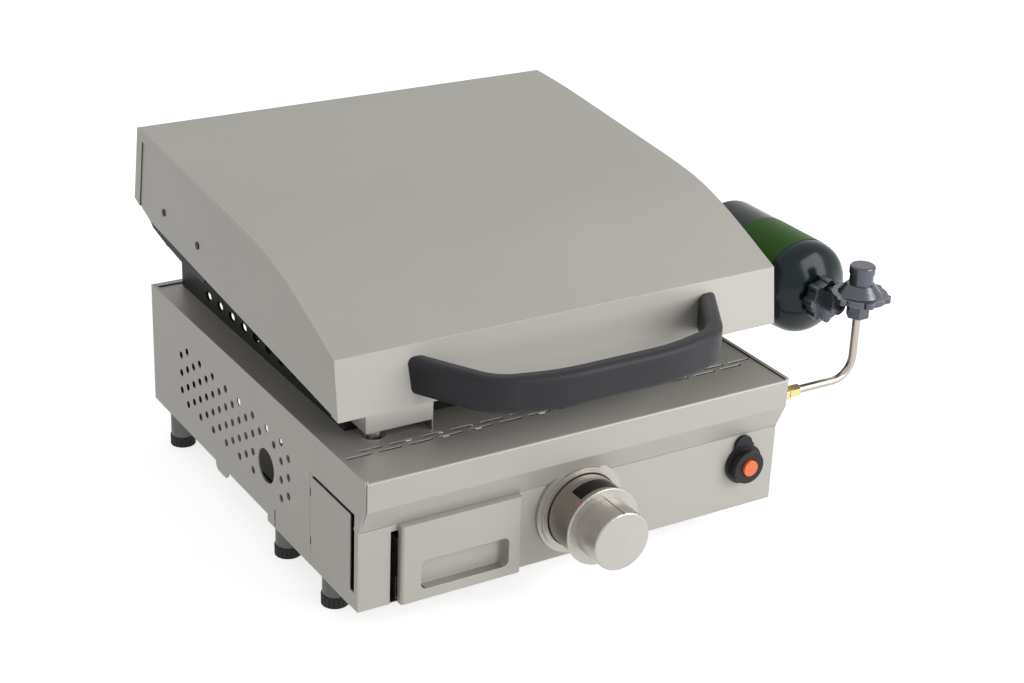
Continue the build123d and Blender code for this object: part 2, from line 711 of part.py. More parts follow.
def make_igniter_bezel():
    x, z = IGNITER_AT[0], IGNITER_Z
    base = igniter_cylinder(IGNITER_BASE_R, (PANEL_Y - 4, PANEL_Y))
    lobe = rod_y(10, x - 2, (PANEL_Y - 4, PANEL_Y), z + 22)
    neck = block((x - 12, x + 10), (PANEL_Y - 4, PANEL_Y), (z + 8, z + 22))
    bezel = base + lobe + neck
    bezel += igniter_cylinder(IGNITER_RING_R, (at_y(1.5), PANEL_Y))
    bezel += igniter_cylinder(12.6, (PANEL_Y - 1, PANEL_Y + SHEET + 8))
    return bezel - igniter_cylinder(BUTTON_R + BUTTON_GAP, (FRONT_Y - 10, PANEL_Y + 30))


def make_igniter_button():
    button = igniter_cylinder(BUTTON_R, (at_y(-1.5), PANEL_Y + 6))
    return fillet(button.edges().sort_by(Axis.Y)[0], 1.2)


def make_igniter_body():
    start = PANEL_Y + SHEET + 8
    return igniter_cylinder(12, (start, start + 48))


def make_igniter_nut():
    start = PANEL_Y + SHEET
    hexagon = Pos(IGNITER_AT[0], start, IGNITER_Z) * Rot(90, 0, 0) * extrude(RegularPolygon(18, 6), -5)
    return hexagon - igniter_cylinder(12.9, (start - 5, start + 20))


# Burner, brackets and ignition


def make_burner():
    z = at_z(-BURNER_DROP)
    near, far = at_y(BURNER_FRONT), at_y(BURNER_REAR)
    half = BURNER_HALF_W
    loop = [(half, near, z), (half, far, z), (-half, far, z), (-half, near, z)]
    rise = [(0, at_y(80), KNOB_AXIS_Z), (0, at_y(120), KNOB_AXIS_Z), (0, near, z)]
    outer = tube_along(loop, BURNER_R, 24, close=True) + tube_along(rise, BURNER_R, 20)
    bore = tube_along(loop, BURNER_BORE_R, 24, close=True) + tube_along(rise, BURNER_BORE_R, 20)
    mouth = rod_y(BURNER_BORE_R, 0, (at_y(78), at_y(82)), KNOB_AXIS_Z)
    ports = []
    for i in range(12):
        for side in (-1, 1):
            ports.append(Pos(side * half, near + 30 + i * 14, z + 10) * Cylinder(1.5, 6))
    return outer - bore - mouth - ports


def make_burner_brackets():
    top = at_z(-BURNER_DROP - BURNER_R)
    x = SIDE_X - SHEET
    bars = []
    for depth in (BURNER_FRONT + BRACKET_BAR_INSET, BURNER_REAR - BRACKET_BAR_INSET):
        y = (at_y(depth), at_y(depth + BRACKET_BAR_W))
        bar = block((-x, x), y, (top - 1.5, top))
        tab = block((x - 1.5, x), y, (top - 16, top))
        bars.append(bar + tab + mirrored(tab))
    return group(*bars)


def make_electrode():
    x = BURNER_HALF_W - 35.0
    y = at_y(BURNER_FRONT + BRACKET_BAR_INSET + BRACKET_BAR_W / 2)
    top = at_z(-BURNER_DROP - BURNER_R)
    return rod_z(4, x, y, (top, top + 14)) + rod_z(1.2, x, y, (top + 13, top + 28))


def make_inner_pipe():
    y = at_y(PIPE_Y)
    z = at_z(-PIPE_LOW)
    points = [
        (SIDE_X - 9.8, y, z),
        (SIDE_X - 80, y + 8, z),
        (90, at_y(45), KNOB_AXIS_Z),
        (24, at_y(45), KNOB_AXIS_Z),
    ]
    return tube_along(points, PIPE_R, 18)


# Outer gas line, regulator and cylinder


def make_pipe_fitting():
    y = at_y(PIPE_Y)
    z = at_z(-PIPE_LOW)
    hexagon = Pos(SIDE_X, y, z) * Rot(0, 90, 0) * extrude(RegularPolygon(8, 6), 12)
    nut = Pos(SIDE_X + 14, y, z) * Rot(0, 90, 0) * extrude(RegularPolygon(7, 6), 12)
    stem = rod_x(PIPE_R + 0.7, (SIDE_X - 9, SIDE_X + 20), y, z)
    lock = Pos(SIDE_X - SHEET - 5, y, z) * Rot(0, 90, 0) * extrude(RegularPolygon(7.5, 6), 5)
    return hexagon + nut + stem + lock - rod_x(PIPE_R, (SIDE_X + 10, SIDE_X + 40), y, z)


def make_gas_pipe():
    y = at_y(PIPE_Y)
    z = at_z(-PIPE_LOW)
    return tube_along([(SIDE_X + 10, y, z), (REG_X, y, z), (REG_X, y, at_z(REG_H - 12))], PIPE_R, 24)


def make_regulator_nut():
    y = at_y(PIPE_Y)
    nut = Pos(REG_X, y, at_z(REG_H - 20)) * extrude(RegularPolygon(12, 6), 16)
    return nut - rod_z(PIPE_R, REG_X, y, (at_z(REG_H - 30), at_z(REG_H - 12)))


def make_regulator_body():
    x, y, z = REG_X, at_y(PIPE_Y), at_z(REG_H)
    body = rod_z(19, x, y, (z - 4, z + 1))
    body += rod_z(28, x, y, (z, z + 6))
    for i in range(6):
        body += Pos(x, y, z + 3) * Rot(0, 0, 60 * i + 10) * Pos(26, 0, 0) * Cylinder(5.5, 6)
    body += Pos(x, y, z + 11) * Cone(22, 14, 10)
    body += rod_z(12, x, y, (z + 15, z + 27))
    inlet_y = at_y(CYL_SHOULDER - CYL_DOME - WHEEL_AHEAD)
    arm = rod_y(9, CYL_X, (y + 13, inlet_y), at_z(CYL_H))
    arm += block((CYL_X - 8, CYL_X + 8), (y + 13, inlet_y), (at_z(CYL_H), z + 1))
    return body + arm


def make_regulator_cap():
    cap = rod_z(13, REG_X, at_y(PIPE_Y), (at_z(REG_H + 27), at_z(REG_H + 36)))
    return fillet(cap.edges().sort_by(Axis.Z)[-1], 2.5)


def make_regulator_wheel():
    front = at_y(CYL_SHOULDER - CYL_DOME - WHEEL_AHEAD)
    back = front + WHEEL_LEN
    wheel = rod_y(20, CYL_X, (front, back), at_z(CYL_H))
    for i in range(8):
        lobe = Rot(0, 45 * i, 0) * Pos(19, 0, 0) * Rot(90, 0, 0) * Cylinder(4.5, back - front)
        wheel += Pos(CYL_X, (front + back) / 2, at_z(CYL_H)) * lobe
    return wheel - rod_y(NECK_R + RUN_FIT, CYL_X, (front + 3, back + 5), at_z(CYL_H))


def tank_solid(inset=0.0):
    radius = CYL_R - inset
    front = at_y(CYL_SHOULDER)
    tip = front - CYL_DOME + inset
    back = at_y(CYL_TAIL) - CYL_BASE
    tail = at_y(CYL_TAIL) - inset
    slant = 0.7071
    dome_mid = (radius * slant, front + (tip - front) * slant)
    base_mid = (radius * slant, back + (tail - back) * slant)
    dome = Spline((0, tip), dome_mid, (radius, front), tangents=((1, 0), (0, 1)))
    base = Spline((radius, back), base_mid, (0, tail), tangents=((0, 1), (-1, 0)))
    face = make_face(Curve() + [dome, Line((radius, front), (radius, back)), base, Line((0, tail), (0, tip))])
    return Pos(CYL_X, 0, at_z(CYL_H)) * revolve(face, Axis.Y)


def make_tank():
    tip = at_y(CYL_SHOULDER - CYL_DOME)
    return tank_solid() - tank_solid(CYL_WALL) - rod_y(5, CYL_X, (tip - 5, tip + 10), at_z(CYL_H))


def make_tank_label():
    y = (at_y(CYL_SHOULDER + LABEL_SET), at_y(CYL_SHOULDER + LABEL_SET + LABEL_LEN))
    z = at_z(CYL_H)
    return rod_y(CYL_R + 0.35, CYL_X, y, z) - rod_y(CYL_R + 0.05, CYL_X, (y[0] - 5, y[1] + 5), z)


def make_tank_neck():
    tip = at_y(CYL_SHOULDER - CYL_DOME)
    neck = rod_y(NECK_R, CYL_X, (tip - 12.5, tip + 2), at_z(CYL_H))
    neck += rod_y(NECK_R + 4, CYL_X, (tip - 1.5, tip + 2), at_z(CYL_H))
    return neck - tank_solid()


# Feet: stud with a cup, rubber pad, and the fixed nuts that hold them


def foot_seat(where):
    return BOX_EDGE_Z + 1 if where == "front" else REAR_EDGE_Z


def make_foot_stud(x, where):
    y = at_y(FOOT_YS[where])
    seat = foot_seat(where)
    stud = rod_z(CUP_R, x, y, (PAD_H, seat - FOOT_GAP))
    stud = fillet(stud.edges().sort_by(Axis.Z)[-1], 2.0)
    return stud + rod_z(STUD_R, x, y, (seat - FOOT_GAP - 1, seat + 14))


def make_foot_pad(x, where):
    y = at_y(FOOT_YS[where])
    pad = rod_z(PAD_R, x, y, (0, PAD_H))
    grooves = []
    for i in range(18):
        grooves.append(Pos(x, y, PAD_H / 2 + 2) * Rot(0, 0, 20 * i) * Pos(PAD_R, 0, 0) * Cylinder(0.7, PAD_H))
    return pad - grooves


def make_foot_nuts():
    nuts = []
    for where, depth in FOOT_YS.items():
        base = foot_seat(where) + (THIN if where == "front" else SHEET)
        for side in (-1, 1):
            nut = Pos(side * FOOT_X, at_y(depth), base) * extrude(RegularPolygon(8, 6), 7)
            nuts.append(nut - rod_z(STUD_R + RUN_FIT, side * FOOT_X, at_y(depth), (base - 5, base + 10)))
    return group(*nuts)


def main():
    save("side_wall_right", make_right_wall())
    save("side_wall_left", make_left_wall())
    save("rear_wall", make_rear_wall())
    save("top_deck", make_top_deck())
    save("control_panel", make_control_panel())
    plate = make_side_plate()
    save("side_plate_right", plate)
    save("side_plate_left", mirrored(plate))
    save("control_box", make_control_box())
    save("bottom_shield", make_bottom_shield())
    save("griddle_guard", make_griddle_guard())
    save("griddle_plate", make_griddle_plate())
    save("grease_chute", make_grease_chute())
    save("hinge_pins", make_hinge_pins())
    save("hood_top", make_hood_top())
    side = make_hood_side()
    save("hood_side_right", side)
    save("hood_side_left", mirrored(side))
    bracket = make_hinge_bracket()
    save("hinge_bracket_right", bracket)
    save("hinge_bracket_left", mirrored(bracket))
    save("hood_screws", make_hood_screws())
    save("hood_handle", make_hood_handle())
    save("drawer_pan", make_drawer_pan())
    save("drawer_front", make_drawer_front())
    save("drawer_rails", make_drawer_rails())
    save("knob_bezel", make_knob_bezel())
    save("knob_drum", make_knob_drum())
    save("scale_window", make_scale_window())
    save("knob_ring", make_knob_ring())
    save("knob_cap", make_knob_cap())
    save("valve_stem", make_valve_stem())
    save("gas_valve", make_gas_valve())
    save("igniter_bezel", make_igniter_bezel())
    save("igniter_button", make_igniter_button())
    save("igniter_body", make_igniter_body())
    save("igniter_nut", make_igniter_nut())
    save("burner", make_burner())
    save("burner_brackets", make_burner_brackets())
    save("electrode", make_electrode())
    save("inner_pipe", make_inner_pipe())
    save("pipe_fitting", make_pipe_fitting())
    save("gas_pipe", make_gas_pipe())
    save("regulator_nut", make_regulator_nut())
    save("regulator_body", make_regulator_body())
    save("regulator_cap", make_regulator_cap())
    save("regulator_wheel", make_regulator_wheel())
    save("tank", make_tank())
    save("tank_label", make_tank_label())
    save("tank_neck", make_tank_neck())
    save("foot_nuts", make_foot_nuts())
    for side, x in (("left", -FOOT_X), ("right", FOOT_X)):
        for where in FOOT_YS:
            save(f"foot_stud_{where}_{side}", make_foot_stud(x, where))
            save(f"foot_pad_{where}_{side}", make_foot_pad(x, where))


main()
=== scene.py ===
"""Looks of a tabletop gas griddle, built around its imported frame.

Every size is in metres unless its name or comment says otherwise. The frame's origin is the middle
of the body's footprint on the table, with the front at -Y and up at +Z.
"""

import json
import logging
import math
from dataclasses import dataclass
from enum import Enum

import bmesh
import bpy
from mathutils import Matrix, Vector

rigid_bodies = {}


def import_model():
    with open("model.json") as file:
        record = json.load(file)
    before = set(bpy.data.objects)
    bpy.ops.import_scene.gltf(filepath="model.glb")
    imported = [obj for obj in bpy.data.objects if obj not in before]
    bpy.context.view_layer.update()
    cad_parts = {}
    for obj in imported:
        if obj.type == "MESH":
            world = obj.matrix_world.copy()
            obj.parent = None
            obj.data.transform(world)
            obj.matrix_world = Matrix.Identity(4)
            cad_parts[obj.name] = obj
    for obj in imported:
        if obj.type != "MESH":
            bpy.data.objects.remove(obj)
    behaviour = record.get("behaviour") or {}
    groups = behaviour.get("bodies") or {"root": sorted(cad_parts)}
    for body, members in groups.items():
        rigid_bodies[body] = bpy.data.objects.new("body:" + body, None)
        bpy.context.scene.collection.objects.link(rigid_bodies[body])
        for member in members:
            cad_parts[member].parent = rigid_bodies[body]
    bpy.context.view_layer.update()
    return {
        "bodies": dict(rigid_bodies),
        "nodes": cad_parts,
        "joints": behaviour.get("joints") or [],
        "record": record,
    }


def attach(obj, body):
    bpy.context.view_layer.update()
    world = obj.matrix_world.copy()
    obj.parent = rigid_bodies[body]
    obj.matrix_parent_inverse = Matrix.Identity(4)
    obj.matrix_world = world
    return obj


LOG = logging.getLogger("griddle")
MM = 0.001
Colour = tuple[float, float, float]
Triple = tuple[float, float, float]
Span = tuple[float, float]
Socket = bpy.types.NodeSocket
DUST = (0.62, 0.60, 0.56)
# Painted shade: the colour that the body's inner faces are darkened to.
INNER_SHADE_COLOUR = (0.035, 0.032, 0.029)
UNIT = (0.0, 1.0)


class Side(Enum):
    """A side of the griddle, as its nodes are named."""

    LEFT = "left"
    RIGHT = "right"


class Place(Enum):
    """Where a foot stands along a side, as its nodes are named."""

    FRONT = "front"
    MIDDLE = "middle"
    REAR = "rear"


class OwnFinish(Enum):
    """A finish that stands in for the record's material slot on some nodes."""

    # Near-black painted shade for the plates inside the body.
    SOOTED = "sooted_steel"
    STUD = "stud_metal"


class Graph:
    """A node tree under construction, with short ways to add and wire its nodes."""

    def __init__(self, tree: bpy.types.NodeTree) -> None:
        """Works on a tree.

        Args:
            tree: the node tree to add to.
        """
        self.tree = tree

    def feed(self, target: Socket, value: object) -> None:
        """Gives an input its value.

        Args:
            target: the input.
            value: a constant, a colour of three numbers, or the output to link it to.
        """
        if isinstance(value, Socket):
            self.tree.links.new(value, target)
        elif target.type == "RGBA":
            target.default_value = (*value, 1.0)
        else:
            target.default_value = value

    def add(
        self, kind: str, inputs: dict[str | int, object] | None = None, **settings: object
    ) -> bpy.types.Node:
        """Adds a node.

        Args:
            kind: the node's type, without its common beginning.
            inputs: the value or source of each input that is set, by name or number.
            settings: the node's own properties, such as its operation.

        Returns:
            The new node.
        """
        node = self.tree.nodes.new(f"ShaderNode{kind}")
        for name, value in settings.items():
            setattr(node, name, value)
        for name, value in (inputs or {}).items():
            self.feed(node.inputs[name], value)
        return node

    def span(self, value: Socket, source: Span = UNIT, target: Span = UNIT) -> Socket:
        """Maps a range of values onto another.

        Args:
            value: the value to map.
            source: the range that it comes in.
            target: the range that it is mapped to, where it stays.

        Returns:
            The socket with the mapped value.
        """
        inputs = {
            "Value": value,
            "From Min": source[0],
            "From Max": source[1],
            "To Min": target[0],
            "To Max": target[1],
        }
        return self.add("MapRange", inputs).outputs["Result"]

    def times(self, first: Socket, second: Socket) -> Socket:
        """The product of two values."""
        return self.add("Math", {0: first, 1: second}, operation="MULTIPLY").outputs[0]

    def larger(self, first: Socket, second: Socket) -> Socket:
        """The larger of two values."""
        return self.add("Math", {0: first, 1: second}, operation="MAXIMUM").outputs[0]

    def seen_directly(self) -> Socket:
        """A value of 1 where the eye, a reflection or clear glass meets the surface."""
        path = self.add("LightPath").outputs
        straight = self.larger(path["Is Camera Ray"], path["Is Transmission Ray"])
        return self.larger(straight, path["Is Glossy Ray"])


class Shader(Graph):
    """A material under construction."""

    def __init__(self, name: str) -> None:
        """Starts a material with one Principled shader.

        Args:
            name: the material's name.
        """
        self.material = bpy.data.materials.new(name)
        self.material.use_nodes = True
        super().__init__(self.material.node_tree)
        self.main = self.tree.nodes["Principled BSDF"]

    def use(self, group: bpy.types.NodeTree, values: dict[str, object]) -> bpy.types.NodeOutputs:
        """Places a shared node group with its own values.

        Args:
            group: the shared group.
            values: the value of each input that differs from the group's default.

        Returns:
            The outputs of the group's node.
        """
        return self.add("Group", values, node_tree=group).outputs

    def blend(self, mask: Socket, low: Colour | Socket, high: Colour | Socket) -> Socket:
        """Mixes two colours by a mask.

        Args:
            mask: the mask, 0 for the low colour and 1 for the high one.
            low: a colour or a socket that gives one.
            high: a colour or a socket that gives one.

        Returns:
            The socket with the mixed colour.
        """
        return self.add("Mix", {0: mask, 6: low, 7: high}, data_type="RGBA").outputs[2]

    def fill(self, values: dict[str, object]) -> None:
        """Sets inputs of the main shader, each to a constant or an output."""
        for name, value in values.items():
            self.feed(self.main.inputs[name], value)


@dataclass
class Effects:
    """The shader node groups that several finishes share, each built once."""

    edge_samples: int = 6
    edge_facing: Span = (0.995, 0.86)
    edge_patches: Span = (0.3, 0.6)
    dust_facing: Span = (0.4, 1.0)
    dust_scale: float = 34.0
    dust_detail: float = 5.0
    # Where the painted inner shade is centred, and the facing range that maps to it.
    shade_middle: Triple = (0.0, 0.0, 0.15)
    shade_facing: Span = (-0.3, -0.45)

    def __post_init__(self) -> None:
        """Builds the grain, worn and highlit edge, dust and painted inner shade groups."""
        self.grain = self._grain()
        self.worn_and_lit_edges = self._worn_and_lit_edges()
        self.dust = self._dust()
        self.inner_shade = self._inner_shade()

    @staticmethod
    def _group(
        name: str, inputs: dict[str, object], outputs: tuple[str, ...]
    ) -> tuple[Graph, bpy.types.NodeOutputs, bpy.types.NodeInputs]:
        """Starts a group.

        Args:
            name: the group's name.
            inputs: each input's default, a number or a vector.
            outputs: the names of its value outputs.

        Returns:
            The graph, what comes into the group, and what goes out of it.
        """
        tree = bpy.data.node_groups.new(name, "ShaderNodeTree")
        for label, default in inputs.items():
            kind = "NodeSocketVector" if isinstance(default, tuple) else "NodeSocketFloat"
            socket = tree.interface.new_socket(name=label, in_out="INPUT", socket_type=kind)
            socket.default_value = default
        for label in outputs:
            tree.interface.new_socket(
                name=label, in_out="OUTPUT", socket_type="NodeSocketFloat"
            )
        start = tree.nodes.new("NodeGroupInput")
        end = tree.nodes.new("NodeGroupOutput")
        return Graph(tree), start.outputs, end.inputs

    def _grain(self) -> bpy.types.NodeTree:
        """Fine noise that can be drawn out along an axis, with a slow drift beside it."""
        defaults = {"Scale": 600.0, "Stretch": (1.0, 1.0, 1.0), "Drift": 9.0}
        graph, start, end = self._group("grain", defaults, ("Fine", "Slow"))
        place = graph.add("TexCoord").outputs["Object"]
        drawn = graph.add("VectorMath", {0: place, 1: start["Stretch"]}, operation="MULTIPLY")
        fine = {"Vector": drawn.outputs[0], "Scale": start["Scale"], "Detail": 3.0}
        slow = {"Vector": place, "Scale": start["Drift"], "Detail": 2.0}
        graph.feed(end["Fine"], graph.add("TexNoise", fine).outputs["Fac"])
        graph.feed(end["Slow"], graph.add("TexNoise", slow).outputs["Fac"])
        return graph.tree

    def _worn_and_lit_edges(self) -> bpy.types.NodeTree:
        """A mask of worn edges and painted highlight where the surface turns sharply, broken up by
        noise.
        """
        defaults = {"Radius": 0.0012, "Breakup": 160.0}
        graph, start, end = self._group("worn_and_lit_edges", defaults, ("Mask",))
        soft = graph.add("Bevel", {"Radius": start["Radius"]}, samples=self.edge_samples)
        flat = graph.add("NewGeometry").outputs["Normal"]
        turn = graph.add("VectorMath", {0: soft.outputs[0], 1: flat}, operation="DOT_PRODUCT")
        sharp = graph.span(turn.outputs["Value"], self.edge_facing)
        place = graph.add("TexCoord").outputs["Object"]
        noise = graph.add("TexNoise", {"Vector": place, "Scale": start["Breakup"]})
        patchy = graph.span(noise.outputs["Fac"], self.edge_patches)
        graph.feed(end["Mask"], graph.times(sharp, patchy))
        return graph.tree

    def _dust(self) -> bpy.types.NodeTree:
        """A mask of what settles on surfaces that face up."""
        graph, start, end = self._group("dust", {"Amount": 0.1}, ("Mask",))
        normal = graph.add("NewGeometry").outputs["Normal"]
        split = graph.add("SeparateXYZ", {0: normal})
        up = graph.span(split.outputs["Z"], self.dust_facing)
        place = graph.add("TexCoord").outputs["Object"]
        noise = graph.add(
            "TexNoise", {"Vector": place, "Scale": self.dust_scale, "Detail": self.dust_detail}
        )
        share = graph.times(up, noise.outputs["Fac"])
        graph.feed(end["Mask"], graph.times(share, start["Amount"]))
        return graph.tree

    def _inner_shade(self) -> bpy.types.NodeTree:
        """Painted shade mask: the sheets' inner faces, which look to the body's middle at rest."""
        graph, start, end = self._group("inner_shade", {"Middle": self.shade_middle}, ("Mask",))
        place = graph.add("TexCoord").outputs["Object"]
        away = graph.add("VectorMath", {0: place, 1: start["Middle"]}, operation="SUBTRACT")
        unit = graph.add("VectorMath", {0: away.outputs[0]}, operation="NORMALIZE")
        normal = graph.add("NewGeometry").outputs["Normal"]
        own = graph.add(
            "VectorTransform",
            {0: normal},
            vector_type="NORMAL",
            convert_from="WORLD",
            convert_to="OBJECT",
        )
        facing = graph.add(
            "VectorMath", {0: unit.outputs[0], 1: own.outputs[0]}, operation="DOT_PRODUCT"
        )
        graph.feed(end["Mask"], graph.span(facing.outputs["Value"], self.shade_facing))
        return graph.tree


@dataclass(frozen=True)
class Finish:
    """One finish of the griddle's surfaces.

    The colour drifts slowly to the second colour, the fine grain roughens it, the edges are worn
    and painted lighter as a highlight to the edge colour, and some sheets get painted shade
    inside.
    """

    name: str
    colour: Colour
    drift_colour: Colour
    # The colour of worn edges, which also serves as a painted highlight on the bends.
    edge_colour: Colour
    metallic: float
    roughness: Span
    grain_scale: float = 700.0
    stretch: Triple = (1.0, 1.0, 1.0)
    bump: float = 0.05
    bump_depth: float = 0.0002
    edge_radius: float = 0.0009
    edge_share: float = 0.5
    dust: float = 0.06
    coat: float = 0.0
    coat_roughness: float = 0.1
    specular: float = 0.5
    # Whether the inner faces get painted shade.
    shaded_inside: bool = False

    def build(self, effects: Effects) -> bpy.types.Material:
        """Makes the material.

        Args:
            effects: the shared node groups.

        Returns:
            The material, ready to be put on pieces.
        """
        s = Shader(self.name)
        grain = s.use(effects.grain, {"Scale": self.grain_scale, "Stretch": self.stretch})
        edges = s.use(effects.worn_and_lit_edges, {"Radius": self.edge_radius})
        dust = s.use(effects.dust, {"Amount": self.dust})
        # Edge mask: worn edges and painted highlight on the bends.
        worn_and_lit = s.span(edges["Mask"], target=(0.0, self.edge_share))
        skin = s.blend(grain["Slow"], self.colour, self.drift_colour)
        skin = s.blend(worn_and_lit, skin, self.edge_colour)
        skin = s.blend(dust["Mask"], skin, DUST)
        # Painted shade: the inner faces are darkened towards the shade colour.
        if self.shaded_inside:
            skin = s.blend(s.use(effects.inner_shade, {})["Mask"], skin, INNER_SHADE_COLOUR)
        relief = {"Strength": self.bump, "Distance": self.bump_depth, "Height": grain["Fine"]}
        s.fill(
            {
                "Base Color": skin,
                "Roughness": s.span(grain["Fine"], target=self.roughness),
                "Normal": s.add("Bump", relief).outputs["Normal"],
                "Metallic": self.metallic,
                "Coat Weight": self.coat,
                "Coat Roughness": self.coat_roughness,
                "Specular IOR Level": self.specular,
            }
        )
        return s.material


FINISHES = (
    Finish(
        "chalk_paint",
        colour=(0.46, 0.445, 0.405),
        drift_colour=(0.50, 0.485, 0.445),
        edge_colour=(0.72, 0.71, 0.68),
        metallic=0.2,
        roughness=(0.38, 0.5),
        shaded_inside=True,
    ),
    Finish(
        "bare_steel",
        colour=(0.50, 0.49, 0.47),
        drift_colour=(0.56, 0.55, 0.53),
        edge_colour=(0.8, 0.8, 0.78),
        metallic=1.0,
        roughness=(0.24, 0.42),
        stretch=(0.06, 1.0, 1.0),
        shaded_inside=True,
    ),
    Finish(
        "burner_steel",
        colour=(0.30, 0.27, 0.24),
        drift_colour=(0.42, 0.38, 0.34),
        edge_colour=(0.5, 0.48, 0.45),
        metallic=1.0,
        roughness=(0.35, 0.6),
    ),
    Finish(
        "pipe_steel",
        colour=(0.38, 0.34, 0.31),
        drift_colour=(0.48, 0.43, 0.39),
        edge_colour=(0.6, 0.57, 0.54),
        metallic=1.0,
        roughness=(0.16, 0.3),
    ),
    # Painted shade: the inner plates are made near black, standing in for the shade inside the
    # body.
    Finish(
        OwnFinish.SOOTED.value,
        colour=(0.055, 0.05, 0.046),
        drift_colour=(0.11, 0.10, 0.09),
        edge_colour=(0.22, 0.21, 0.2),
        metallic=0.7,
        roughness=(0.4, 0.6),
    ),
    Finish(
        OwnFinish.STUD.value,
        colour=(0.10, 0.10, 0.098),
        drift_colour=(0.15, 0.148, 0.144),
        edge_colour=(0.3, 0.3, 0.29),
        metallic=0.8,
        roughness=(0.3, 0.46),
    ),
    Finish(
        "satin_metal",
        colour=(0.43, 0.41, 0.38),
        drift_colour=(0.50, 0.48, 0.45),
        edge_colour=(0.74, 0.73, 0.70),
        metallic=0.85,
        roughness=(0.26, 0.46),
        grain_scale=300.0,
        bump=0.8,
        bump_depth=0.0005,
    ),
    Finish(
        "dark_metal",
        colour=(0.26, 0.24, 0.21),
        drift_colour=(0.34, 0.31, 0.28),
        edge_colour=(0.5, 0.48, 0.45),
        metallic=0.9,
        roughness=(0.26, 0.4),
    ),
    Finish(
        "cast_metal",
        colour=(0.44, 0.44, 0.45),
        drift_colour=(0.52, 0.52, 0.53),
        edge_colour=(0.7, 0.7, 0.7),
        metallic=1.0,
        roughness=(0.4, 0.6),
        grain_scale=350.0,
        bump=0.4,
        bump_depth=0.0004,
    ),
    Finish(
        "black_steel",
        colour=(0.008, 0.008, 0.008),
        drift_colour=(0.014, 0.0135, 0.013),
        edge_colour=(0.06, 0.06, 0.06),
        metallic=0.1,
        roughness=(0.4, 0.6),
        specular=0.25,
        dust=0.02,
    ),
    Finish(
        "seasoned_steel",
        colour=(0.022, 0.02, 0.019),
        drift_colour=(0.05, 0.044, 0.04),
        edge_colour=(0.14, 0.13, 0.12),
        metallic=0.6,
        roughness=(0.28, 0.5),
        bump=0.3,
    ),
    Finish(
        "brass",
        colour=(0.72, 0.55, 0.24),
        drift_colour=(0.78, 0.62, 0.30),
        edge_colour=(0.9, 0.78, 0.48),
        metallic=1.0,
        roughness=(0.2, 0.34),
    ),
    Finish(
        "regulator_metal",
        colour=(0.07, 0.075, 0.09),
        drift_colour=(0.13, 0.137, 0.16),
        edge_colour=(0.5, 0.51, 0.55),
        metallic=0.75,
        roughness=(0.14, 0.3),
        grain_scale=380.0,
        bump=0.45,
        bump_depth=0.0004,
        edge_share=0.7,
    ),
    Finish(
        "handle_plastic",
        colour=(0.016, 0.017, 0.020),
        drift_colour=(0.022, 0.023, 0.027),
        edge_colour=(0.05, 0.05, 0.055),
        metallic=0.0,
        roughness=(0.42, 0.56),
        grain_scale=900.0,
        bump=0.3,
        specular=0.3,
        dust=0.02,
    ),
    Finish(
        "black_plastic",
        colour=(0.009, 0.009, 0.011),
        drift_colour=(0.014, 0.014, 0.016),
        edge_colour=(0.04, 0.04, 0.04),
        metallic=0.0,
        roughness=(0.26, 0.4),
        specular=0.3,
        dust=0.02,
    ),
    Finish(
        "scale_black",
        colour=(0.004, 0.004, 0.004),
        drift_colour=(0.006, 0.006, 0.006),
        edge_colour=(0.02, 0.02, 0.02),
        metallic=0.0,
        roughness=(0.16, 0.26),
        specular=0.22,
        dust=0.0,
    ),
    Finish(
        "orange_plastic",
        colour=(0.90, 0.16, 0.045),
        drift_colour=(0.94, 0.20, 0.06),
        edge_colour=(0.96, 0.42, 0.25),
        metallic=0.0,
        roughness=(0.3, 0.4),
    ),
    Finish(
        "green_paint",
        colour=(0.005, 0.012, 0.016),
        drift_colour=(0.008, 0.017, 0.021),
        edge_colour=(0.03, 0.05, 0.055),
        metallic=0.1,
        roughness=(0.16, 0.22),
        coat=0.1,
        specular=0.22,
        dust=0.0,
    ),
    Finish(
        "green_label",
        colour=(0.020, 0.085, 0.005),
        drift_colour=(0.034, 0.11, 0.010),
        edge_colour=(0.10, 0.22, 0.06),
        metallic=0.0,
        roughness=(0.36, 0.44),
        specular=0.1,
        dust=0.0,
    ),
    Finish(
        "rubber",
        colour=(0.014, 0.014, 0.014),
        drift_colour=(0.024, 0.024, 0.024),
        edge_colour=(0.04, 0.04, 0.04),
        metallic=0.0,
        roughness=(0.6, 0.8),
    ),
)


